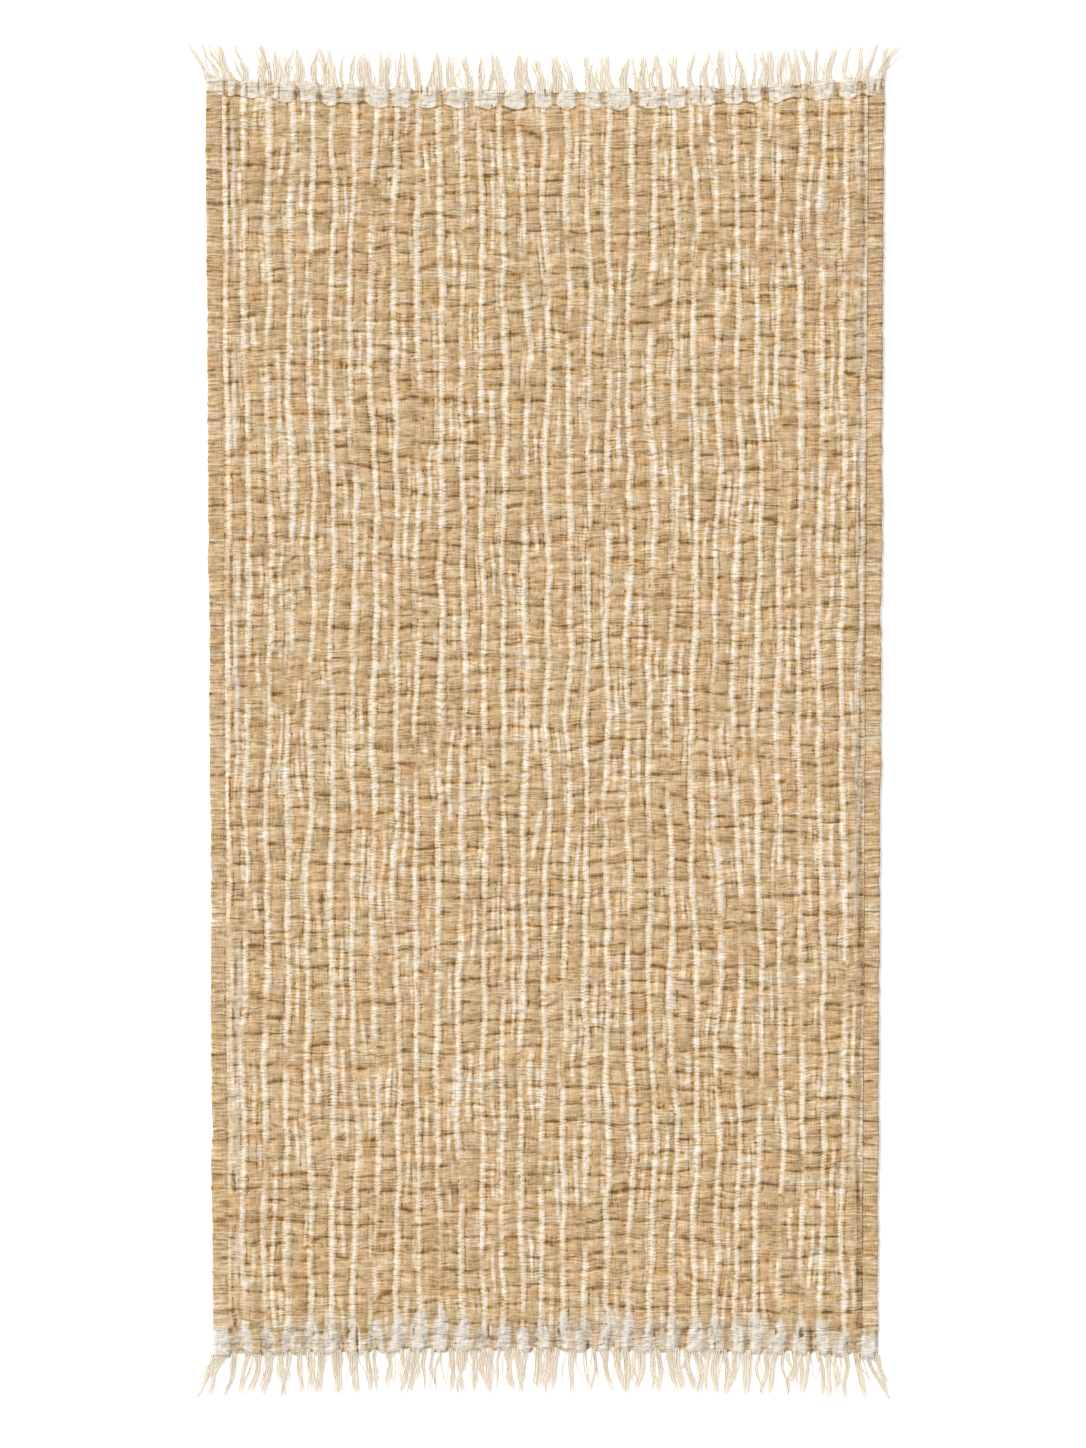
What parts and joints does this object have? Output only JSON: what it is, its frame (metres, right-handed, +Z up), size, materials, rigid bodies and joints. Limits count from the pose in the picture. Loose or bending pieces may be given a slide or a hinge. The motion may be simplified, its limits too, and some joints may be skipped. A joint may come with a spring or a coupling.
{
  "type": "bath mat",
  "caption": "Flat rectangular bath mat of crinkled tan cotton gauze in layers, with turned side hems, cream header bands and a loose cream warp fringe at both ends.",
  "frame": {"origin": "on the floor under the middle of the whole mat, fringes included", "axes": "+X across the mat to its right side, +Y along it to the far end, +Z up"},
  "size_m": [0.5141, 0.9997, 0.007],
  "materials": {
    "tan_gauze": "matte",
    "inner_gauze": "matte",
    "hem_gauze": "matte",
    "hem_thread": "matte",
    "cream_band": "matte",
    "fringe_warp": "matte"
  },
  "bodies": {
    "root": {"face_cloth": "tan_gauze", "upper_inner_cloth": "inner_gauze", "lower_inner_cloth": "inner_gauze", "back_cloth": "tan_gauze", "left_side_hem": "hem_gauze", "right_side_hem": "hem_gauze", "left_hem_thread": "hem_thread", "right_hem_thread": "hem_thread", "far_header_band": "cream_band", "near_header_band": "cream_band", "far_fringe_01": "fringe_warp", "far_fringe_02": "fringe_warp", "far_fringe_03": "fringe_warp", "far_fringe_04": "fringe_warp", "far_fringe_05": "fringe_warp", "far_fringe_06": "fringe_warp", "far_fringe_07": "fringe_warp", "far_fringe_08": "fringe_warp", "far_fringe_09": "fringe_warp", "far_fringe_10": "fringe_warp", "far_fringe_11": "fringe_warp", "far_fringe_12": "fringe_warp", "far_fringe_13": "fringe_warp", "far_fringe_14": "fringe_warp", "far_fringe_15": "fringe_warp", "far_fringe_16": "fringe_warp", "far_fringe_17": "fringe_warp", "far_fringe_18": "fringe_warp", "far_fringe_19": "fringe_warp", "far_fringe_20": "fringe_warp", "near_fringe_01": "fringe_warp", "near_fringe_02": "fringe_warp", "near_fringe_03": "fringe_warp", "near_fringe_04": "fringe_warp", "near_fringe_05": "fringe_warp", "near_fringe_06": "fringe_warp", "near_fringe_07": "fringe_warp", "near_fringe_08": "fringe_warp", "near_fringe_09": "fringe_warp", "near_fringe_10": "fringe_warp", "near_fringe_11": "fringe_warp", "near_fringe_12": "fringe_warp", "near_fringe_13": "fringe_warp", "near_fringe_14": "fringe_warp", "near_fringe_15": "fringe_warp", "near_fringe_16": "fringe_warp", "near_fringe_17": "fringe_warp", "near_fringe_18": "fringe_warp", "near_fringe_19": "fringe_warp", "near_fringe_20": "fringe_warp"}
  },
  "joints": []
}
